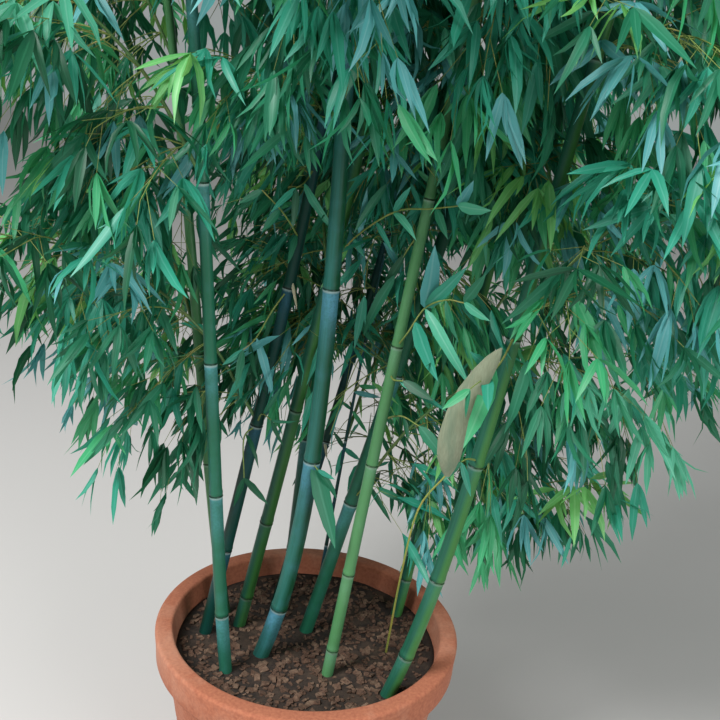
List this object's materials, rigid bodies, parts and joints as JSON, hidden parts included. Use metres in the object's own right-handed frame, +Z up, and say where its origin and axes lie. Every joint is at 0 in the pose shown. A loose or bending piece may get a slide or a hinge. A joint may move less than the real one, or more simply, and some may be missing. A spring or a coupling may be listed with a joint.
{
  "type": "potted bamboo",
  "caption": "Tall clump of jointed bamboo canes with airy drooping foliage, rooted in a round terracotta tub that stands on its flat underside.",
  "frame": {"origin": "centre of the tub's flat underside, where it stands on the ground", "axes": "+Z up along the tub's axis and the plant's height; -Y towards the side that the picture shows; +X to its right"},
  "size_m": [2.4562, 2.3217, 4.0541],
  "materials": {
    "terracotta": "matt, weathered",
    "potting_mix": "rough, damp bark compost",
    "cane_near_black": "smooth, waxy",
    "cane_deep_green": "smooth, waxy",
    "cane_blue_green": "smooth under a pale waxy bloom",
    "cane_olive": "smooth, waxy",
    "cane_bright": "smooth, waxy",
    "leaf": "satin"
  },
  "bodies": {
    "root": {"tub": "terracotta", "soil": "potting_mix", "cane_left": "cane_near_black", "cane_olive": "cane_olive", "cane_centre": "cane_blue_green", "cane_dark": "cane_near_black", "cane_bright": "cane_bright", "cane_shaded": "cane_deep_green", "cane_outer": "cane_olive", "cane_slender": "cane_near_black", "cane_front_left": "cane_deep_green", "cane_far_left": "cane_bright", "cane_back": "cane_deep_green", "cane_back_right": "cane_olive", "leaves_left_1": "leaf", "leaves_left_2": "leaf", "leaves_left_3": "leaf", "leaves_left_4": "leaf", "leaves_olive_1": "leaf", "leaves_olive_2": "leaf", "leaves_olive_3": "leaf", "leaves_olive_4": "leaf", "leaves_centre_1": "leaf", "leaves_centre_2": "leaf", "leaves_centre_3": "leaf", "leaves_centre_4": "leaf", "leaves_dark_1": "leaf", "leaves_dark_2": "leaf", "leaves_dark_3": "leaf", "leaves_dark_4": "leaf", "leaves_bright_1": "leaf", "leaves_bright_2": "leaf", "leaves_bright_3": "leaf", "leaves_bright_4": "leaf", "leaves_shaded_1": "leaf", "leaves_shaded_2": "leaf", "leaves_shaded_3": "leaf", "leaves_shaded_4": "leaf", "leaves_outer_1": "leaf", "leaves_outer_2": "leaf", "leaves_outer_3": "leaf", "leaves_outer_4": "leaf", "leaves_slender_1": "leaf", "leaves_slender_2": "leaf", "leaves_front_left_1": "leaf", "leaves_front_left_2": "leaf", "leaves_front_left_3": "leaf", "leaves_front_left_4": "leaf", "leaves_far_left_1": "leaf", "leaves_far_left_2": "leaf", "leaves_far_left_3": "leaf", "leaves_far_left_4": "leaf", "leaves_back_1": "leaf", "leaves_back_2": "leaf", "leaves_back_3": "leaf", "leaves_back_4": "leaf", "leaves_back_right_1": "leaf", "leaves_back_right_2": "leaf", "leaves_back_right_3": "leaf", "leaves_back_right_4": "leaf"}
  },
  "joints": []
}
